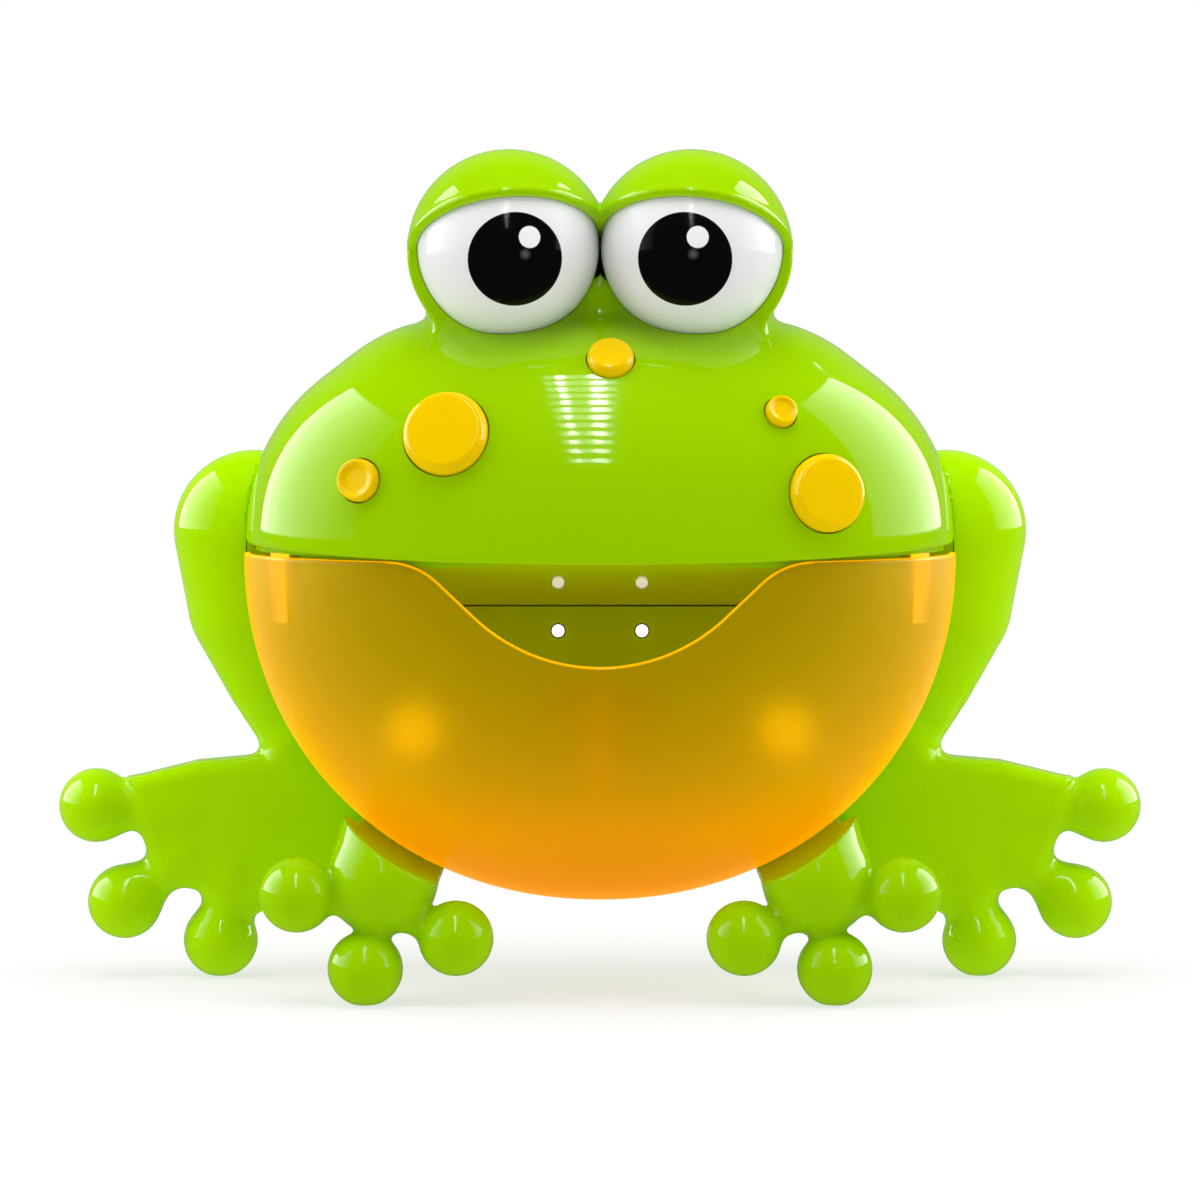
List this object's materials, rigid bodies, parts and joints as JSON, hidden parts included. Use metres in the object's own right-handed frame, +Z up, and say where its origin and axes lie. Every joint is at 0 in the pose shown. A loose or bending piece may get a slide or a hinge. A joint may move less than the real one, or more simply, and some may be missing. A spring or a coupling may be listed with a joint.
{
  "type": "bubble frog bath toy",
  "caption": "Frog-shaped bath toy that blows bubbles: a lift-away solution tray forms its belly, a fan and turning wiper sit behind it, and suction cups hold it on a wall.",
  "frame": {"origin": "on the floor, midway across the toy and midway between the mouth lip and the suction cup rims", "axes": "+X to the right as pictured, -Y out of the frog's face, +Z up"},
  "size_m": [0.3016, 0.11, 0.2287],
  "materials": {
    "green_plastic": "glossy moulded lime green",
    "yellow_plastic": "glossy moulded yellow",
    "clear_orange_plastic": "see-through orange, glossy",
    "white_plastic": "glossy white",
    "lamp_white": "milky white lamp lens",
    "clear_rubber": "clear soft vinyl",
    "grey_plastic": "matte grey",
    "black_plastic": "matte black",
    "board_green": "green laminate",
    "steel": "plain zinc-coated steel",
    "cell_wrap": "plain blue sleeve"
  },
  "bodies": {
    "body": {"air_duct": "grey_plastic", "air_nozzle": "clear_orange_plastic", "back_shell": "green_plastic", "battery_1": "cell_wrap", "battery_2": "cell_wrap", "battery_3": "cell_wrap", "battery_box": "green_plastic", "circuit_board": "board_green", "fan_housing": "grey_plastic", "first_gear_pin": "steel", "front_shell": "green_plastic", "gear_plate": "grey_plastic", "left_case_screw_1": "steel", "left_case_screw_2": "steel", "left_contact_strip": "steel", "left_eyeball": "white_plastic", "left_front_leg": "green_plastic", "left_hind_leg": "green_plastic", "left_large_spot": "yellow_plastic", "left_lower_suction_cup": "clear_rubber", "left_mouth_lamp": "lamp_white", "left_panel_screw_1": "steel", "left_panel_screw_2": "steel", "left_small_spot": "yellow_plastic", "left_tray_lamp": "lamp_white", "left_upper_suction_cup": "clear_rubber", "motor": "steel", "mouth_panel": "green_plastic", "mouth_roof": "green_plastic", "nose_spot": "yellow_plastic", "right_case_screw_1": "steel", "right_case_screw_2": "steel", "right_contact_strip": "steel", "right_eyeball": "white_plastic", "right_front_leg": "green_plastic", "right_hind_leg": "green_plastic", "right_lower_suction_cup": "clear_rubber", "right_mouth_lamp": "lamp_white", "right_panel_screw_1": "steel", "right_panel_screw_2": "steel", "right_small_spot": "yellow_plastic", "right_tray_lamp": "lamp_white", "right_upper_suction_cup": "clear_rubber", "second_gear_pin": "steel", "speaker": "black_plastic", "switch_body": "grey_plastic"},
    "button": {"power_button": "yellow_plastic", "switch_plunger": "black_plastic"},
    "tray": {"solution_tray": "clear_orange_plastic"},
    "door": {"battery_door": "green_plastic", "door_screw": "steel"},
    "rotor": {"motor_pinion": "steel", "fan_impeller": "white_plastic"},
    "first_reduction": {"first_gear": "white_plastic"},
    "second_reduction": {"second_gear": "white_plastic"},
    "wiper": {"wiper_gear": "white_plastic", "wiper_blade": "yellow_plastic"}
  },
  "joints": [
    {"name": "button_press", "type": "slide", "parent": "body", "child": "button", "axis": [-0.3481, 0.9247, -0.1542], "range_m": [0, 0.002], "stiffness_N_per_m": 400},
    {"name": "tray_slide", "type": "slide", "parent": "body", "child": "tray", "axis": [0, -1, 0], "range_m": [0, 0.11]},
    {"name": "door_slide", "type": "slide", "parent": "body", "child": "door", "axis": [0, 1, 0], "range_m": [0, 0.03]},
    {"name": "motor_spin", "type": "hinge", "parent": "body", "child": "rotor", "pos_m": [0.0378, 0.015, 0.058], "axis": [0, 1, 0], "continuous": true},
    {"name": "first_gear_spin", "type": "hinge", "parent": "body", "child": "first_reduction", "pos_m": [0.0252, 0.015, 0.058], "axis": [0, 1, 0], "continuous": true},
    {"name": "second_gear_spin", "type": "hinge", "parent": "body", "child": "second_reduction", "pos_m": [0.0126, 0.015, 0.058], "axis": [0, 1, 0], "continuous": true},
    {"name": "wiper_spin", "type": "hinge", "parent": "body", "child": "wiper", "pos_m": [0, 0.015, 0.058], "axis": [0, 1, 0], "continuous": true}
  ],
  "couplings": [
    {"joint": "first_gear_spin", "follows": "motor_spin", "ratio": -0.33333},
    {"joint": "second_gear_spin", "follows": "motor_spin", "ratio": 0.11111},
    {"joint": "wiper_spin", "follows": "motor_spin", "ratio": -0.037037}
  ]
}
